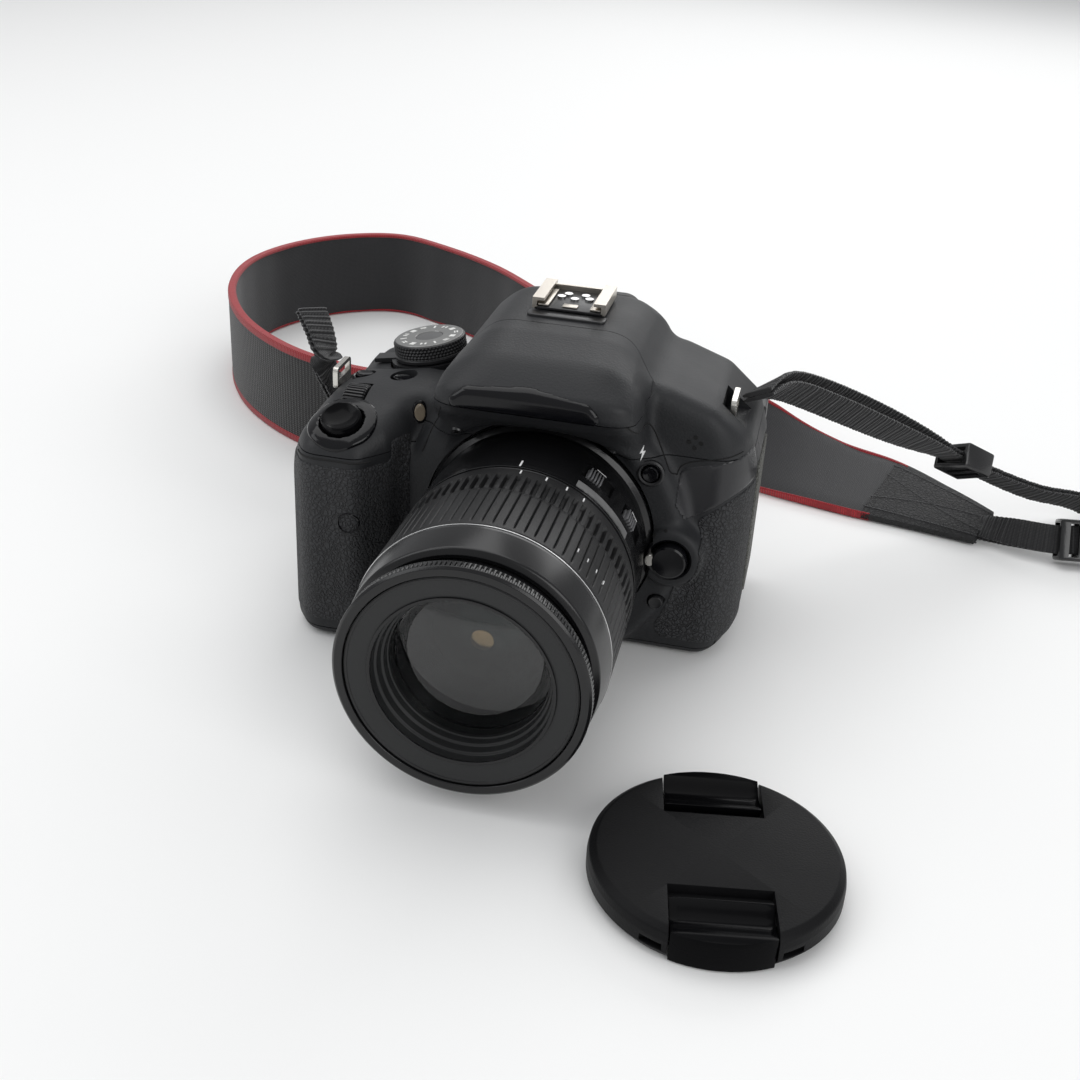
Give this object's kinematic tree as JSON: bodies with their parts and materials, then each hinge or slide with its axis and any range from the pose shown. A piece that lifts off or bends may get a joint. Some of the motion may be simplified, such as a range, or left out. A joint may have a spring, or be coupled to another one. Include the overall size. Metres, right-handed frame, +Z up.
{
  "type": "dslr camera",
  "caption": "Single-lens reflex camera body with a hinged screen, pop-up flash and zoom lens, with its pinch lens cap and neck strap laid beside it.",
  "frame": {"origin": "on the underside of the base plate, below the lens axis, in the plane of the image sensor", "axes": "+Z up, -Y the way the lens points, +X to the right for someone who faces the lens"},
  "size_m": [0.383, 0.3962, 0.0995],
  "materials": {
    "body_plastic": "charcoal moulded plastic with a very fine matte texture",
    "gloss_plastic": "smooth black plastic, semi-gloss",
    "grip_rubber": "pebbled charcoal rubber",
    "bright_metal": "bare stamped steel, lightly scratched",
    "dark_metal": "satin dark grey metal",
    "mirror_glass": "front-silvered mirror",
    "lens_glass": "coated optical glass, dark, with green and amber reflections",
    "circuit_board": "green solder mask with the image sensor on it",
    "dial_print": "silver-grey dial face with fine print-like marks, black knurled side",
    "webbing": "black ribbed polyester webbing",
    "strap_fabric": "black woven strap with red edge bands and a smooth grey-black lining"
  },
  "bodies": {
    "root": {"front_cover": "body_plastic", "top_cover": "body_plastic", "rear_cover": "body_plastic", "base_plate": "body_plastic", "grip_rubber": "grip_rubber", "side_rubber": "grip_rubber", "mirror_box": "gloss_plastic", "pentaprism": "lens_glass", "shutter_unit": "dark_metal", "sensor_board": "circuit_board", "mount_ring": "bright_metal", "tripod_socket": "bright_metal", "hot_shoe": "bright_metal", "eyepiece": "lens_glass", "eyecup": "grip_rubber", "strap_lug_left": "bright_metal", "strap_lug_right": "bright_metal", "battery": "gloss_plastic", "terminal_sockets": "dark_metal", "screen_hinge": "dark_metal", "strap_pad": "strap_fabric", "strap_webbing_right": "webbing", "strap_webbing_left": "webbing", "strap_slider": "gloss_plastic", "strap_buckle": "gloss_plastic"},
    "shutter_release": {"shutter_button": "gloss_plastic"},
    "iso_key": {"iso_button": "gloss_plastic"},
    "display_key": {"display_button": "gloss_plastic"},
    "lens_release": {"lens_release_button": "gloss_plastic"},
    "preview_key": {"preview_button": "gloss_plastic"},
    "flash_key": {"flash_button": "gloss_plastic"},
    "menu_key": {"menu_button": "gloss_plastic"},
    "info_key": {"info_button": "gloss_plastic"},
    "playback_key": {"playback_button": "gloss_plastic"},
    "erase_key": {"erase_button": "gloss_plastic"},
    "set_key": {"set_button": "gloss_plastic"},
    "cross_key_pad": {"cross_keys": "gloss_plastic"},
    "dial_main": {"main_dial": "gloss_plastic"},
    "dial_mode": {"mode_dial": "dial_print"},
    "power": {"power_lever": "gloss_plastic"},
    "flash": {"flash_head": "body_plastic", "flash_window": "lens_glass"},
    "screen": {"screen_panel": "body_plastic", "screen_glass": "lens_glass"},
    "battery_lid": {"battery_door": "body_plastic"},
    "card_lid": {"card_door": "body_plastic"},
    "terminal_flap": {"terminal_cover": "grip_rubber"},
    "mirror": {"reflex_mirror": "mirror_glass"},
    "lens": {"lens_barrel": "gloss_plastic", "lens_collar": "gloss_plastic"},
    "zoom": {"zoom_ring": "grip_rubber"},
    "lens_tube": {"inner_barrel": "gloss_plastic"},
    "focus": {"focus_ring": "gloss_plastic", "front_bezel": "gloss_plastic", "front_element": "lens_glass"},
    "focus_switch": {"focus_mode_switch": "gloss_plastic"},
    "stabiliser": {"stabiliser_switch": "gloss_plastic"},
    "cap": {"lens_cap": "body_plastic"},
    "cap_pinch_rear": {"cap_latch_rear": "gloss_plastic"},
    "cap_pinch_front": {"cap_latch_front": "gloss_plastic"}
  },
  "joints": [
    {"name": "shutter_press", "type": "slide", "parent": "root", "child": "shutter_release", "axis": [0, 0.4099, -0.9121], "range_m": [0, 0.001], "stiffness_N_per_m": 300, "springref_m": -0.0004},
    {"name": "iso_press", "type": "slide", "parent": "root", "child": "iso_key", "axis": [0, 0, -1], "range_m": [0, 0.0005], "stiffness_N_per_m": 250, "springref_m": -0.0004},
    {"name": "display_press", "type": "slide", "parent": "root", "child": "display_key", "axis": [0, 0, -1], "range_m": [0, 0.0005], "stiffness_N_per_m": 250, "springref_m": -0.0004},
    {"name": "lens_release_press", "type": "slide", "parent": "root", "child": "lens_release", "axis": [0, 1, 0], "range_m": [0, 0.0012], "stiffness_N_per_m": 400, "springref_m": -0.0004},
    {"name": "preview_press", "type": "slide", "parent": "root", "child": "preview_key", "axis": [0, 1, 0], "range_m": [0, 0.0005], "stiffness_N_per_m": 250, "springref_m": -0.0004},
    {"name": "flash_button_press", "type": "slide", "parent": "root", "child": "flash_key", "axis": [0, 1, 0], "range_m": [0, 0.0005], "stiffness_N_per_m": 250, "springref_m": -0.0004},
    {"name": "menu_press", "type": "slide", "parent": "root", "child": "menu_key", "axis": [0, -1, 0], "range_m": [0, 0.0005], "stiffness_N_per_m": 250, "springref_m": -0.0004},
    {"name": "info_press", "type": "slide", "parent": "root", "child": "info_key", "axis": [0, -1, 0], "range_m": [0, 0.0005], "stiffness_N_per_m": 250, "springref_m": -0.0004},
    {"name": "playback_press", "type": "slide", "parent": "root", "child": "playback_key", "axis": [0, -1, 0], "range_m": [0, 0.0005], "stiffness_N_per_m": 250, "springref_m": -0.0004},
    {"name": "erase_press", "type": "slide", "parent": "root", "child": "erase_key", "axis": [0, -1, 0], "range_m": [0, 0.0005], "stiffness_N_per_m": 250, "springref_m": -0.0004},
    {"name": "set_press", "type": "slide", "parent": "root", "child": "set_key", "axis": [0, -1, 0], "range_m": [0, 0.0005], "stiffness_N_per_m": 250, "springref_m": -0.0004},
    {"name": "cross_keys_press", "type": "slide", "parent": "root", "child": "cross_key_pad", "axis": [0, -1, 0], "range_m": [0, 0.0005], "stiffness_N_per_m": 250, "springref_m": -0.0004},
    {"name": "main_dial_turn", "type": "hinge", "parent": "root", "child": "dial_main", "pos_m": [-0.0575, -0.038, 0.0656], "axis": [1, 0, 0], "continuous": true},
    {"name": "mode_dial_turn", "type": "hinge", "parent": "root", "child": "dial_mode", "pos_m": [-0.0444, -0.01, 0.0803], "axis": [-0.1702, 0, 0.9854], "continuous": true},
    {"name": "power_lever_turn", "type": "hinge", "parent": "root", "child": "power", "pos_m": [-0.0444, -0.01, 0.0803], "axis": [-0.1702, 0, 0.9854], "range_deg": [-35, 0]},
    {"name": "flash_lift", "type": "hinge", "parent": "root", "child": "flash", "pos_m": [0, -0.027, 0.097], "axis": [-1, 0, 0], "range_deg": [0, 70]},
    {"name": "screen_swing", "type": "hinge", "parent": "root", "child": "screen", "pos_m": [0.0574, 0.0123, 0.036], "axis": [0, 0, -1], "range_deg": [0, 175], "deforming": ["strap_pad", "strap_webbing_right", "strap_webbing_left", "strap_slider", "strap_buckle"]},
    {"name": "battery_door_swing", "type": "hinge", "parent": "root", "child": "battery_lid", "pos_m": [-0.0439, -0.042, 0], "axis": [0, -1, 0], "range_deg": [0, 90]},
    {"name": "card_door_swing", "type": "hinge", "parent": "root", "child": "card_lid", "pos_m": [-0.0713, 0, 0.034], "axis": [0, 0, -1], "range_deg": [0, 90]},
    {"name": "terminal_cover_swing", "type": "hinge", "parent": "root", "child": "terminal_flap", "pos_m": [0.0608, -0.025, 0.038], "axis": [0, 0, -1], "range_deg": [0, 110]},
    {"name": "mirror_flip", "type": "hinge", "parent": "root", "child": "mirror", "pos_m": [0, -0.013, 0.05], "axis": [-1, 0, 0], "range_deg": [0, 45], "stiffness_Nm_per_rad": 0.004, "springref_deg": -17.19},
    {"name": "lens_turn", "type": "hinge", "parent": "root", "child": "lens", "pos_m": [0, -0.044, 0.038], "axis": [0, -1, 0], "range_deg": [0, 60]},
    {"name": "zoom_turn", "type": "hinge", "parent": "lens", "child": "zoom", "pos_m": [0, -0.044, 0.038], "axis": [0, -1, 0], "range_deg": [0, 35]},
    {"name": "barrel_slide", "type": "slide", "parent": "lens", "child": "lens_tube", "axis": [0, 1, 0], "range_m": [0, 0.0045]},
    {"name": "focus_turn", "type": "hinge", "parent": "lens_tube", "child": "focus", "pos_m": [0, -0.044, 0.038], "axis": [0, -1, 0], "range_deg": [-45, 45]},
    {"name": "focus_mode_slide", "type": "slide", "parent": "lens", "child": "focus_switch", "axis": [0.809, 0, -0.5878], "range_m": [0, 0.0024]},
    {"name": "stabiliser_slide", "type": "slide", "parent": "lens", "child": "stabiliser", "axis": [0.454, 0, -0.891], "range_m": [0, 0.0024]},
    {"name": "cap_lift", "type": "slide", "parent": "root", "child": "cap", "axis": [0, 0, 1], "range_m": [0, 0.06]},
    {"name": "cap_pinch_rear_press", "type": "slide", "parent": "cap", "child": "cap_pinch_rear", "axis": [0.1736, -0.9848, 0], "range_m": [0, 0.0025], "stiffness_N_per_m": 300, "springref_m": -0.0004},
    {"name": "cap_pinch_front_press", "type": "slide", "parent": "cap", "child": "cap_pinch_front", "axis": [-0.1736, 0.9848, 0], "range_m": [0, 0.0025], "stiffness_N_per_m": 300, "springref_m": -0.0004}
  ],
  "couplings": [
    {"joint": "barrel_slide", "follows": "zoom_turn", "m_per_rad": 0.0073}
  ]
}
